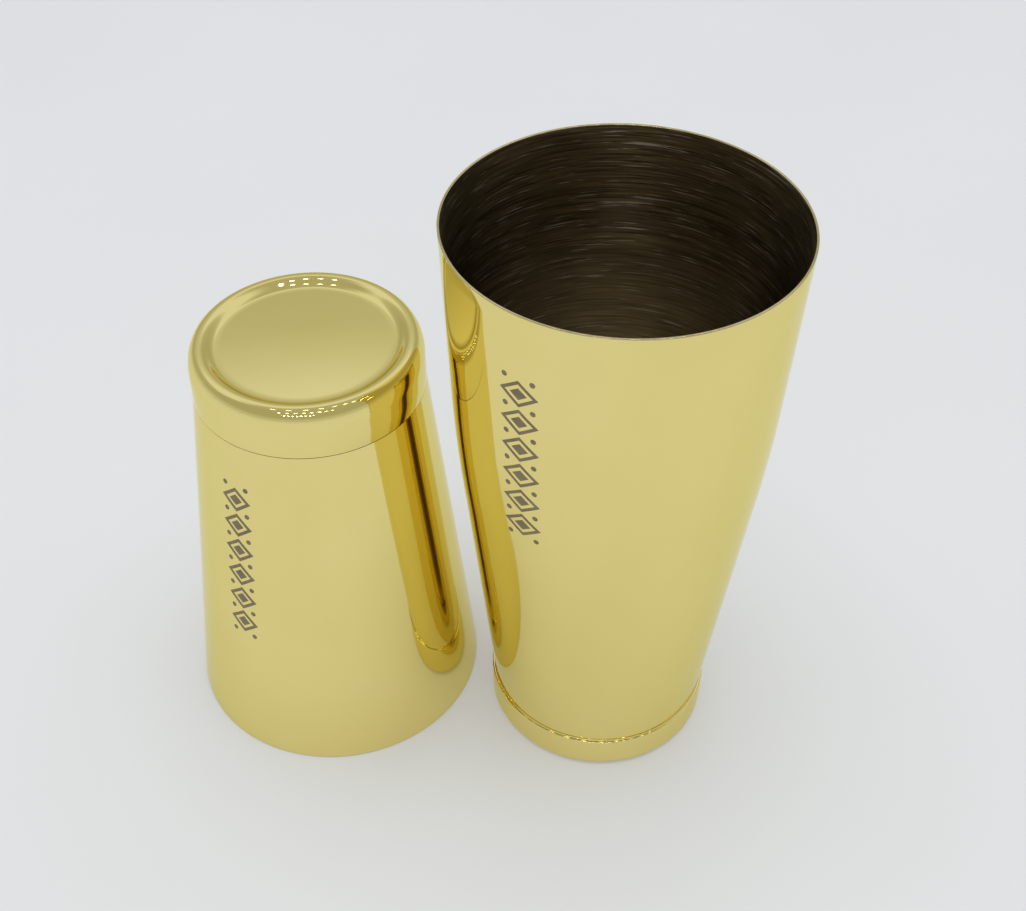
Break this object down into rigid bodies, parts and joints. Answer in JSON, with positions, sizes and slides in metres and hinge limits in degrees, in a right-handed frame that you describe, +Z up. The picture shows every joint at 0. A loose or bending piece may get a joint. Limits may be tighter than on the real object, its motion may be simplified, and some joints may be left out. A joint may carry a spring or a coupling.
{
  "type": "cocktail shaker",
  "caption": "Weighted tin-on-tin cocktail shaker: a tall tin standing mouth up beside its shorter mate standing mouth down, polished gold outside and dark brushed steel inside.",
  "frame": {"origin": "on the table, midway between the outermost sides of the standing pair", "axes": "+Z up, +X from the small tin's axis to the large tin's axis"},
  "size_m": [0.1764, 0.0926, 0.178],
  "materials": {
    "gold_plated_steel": "polished",
    "plain_steel": "satin"
  },
  "bodies": {
    "large_tin": {"large_tin_shell": "gold_plated_steel", "large_tin_base_cap": "gold_plated_steel", "large_tin_weight": "plain_steel"},
    "small_tin": {"small_tin_shell": "gold_plated_steel", "small_tin_base_cap": "gold_plated_steel", "small_tin_weight": "plain_steel"}
  },
  "joints": [
    {"name": "small_tin_lift", "type": "slide", "parent": "large_tin", "child": "small_tin", "axis": [-0.2588, 0, 0.9659], "range_m": [0, 0.2]}
  ]
}
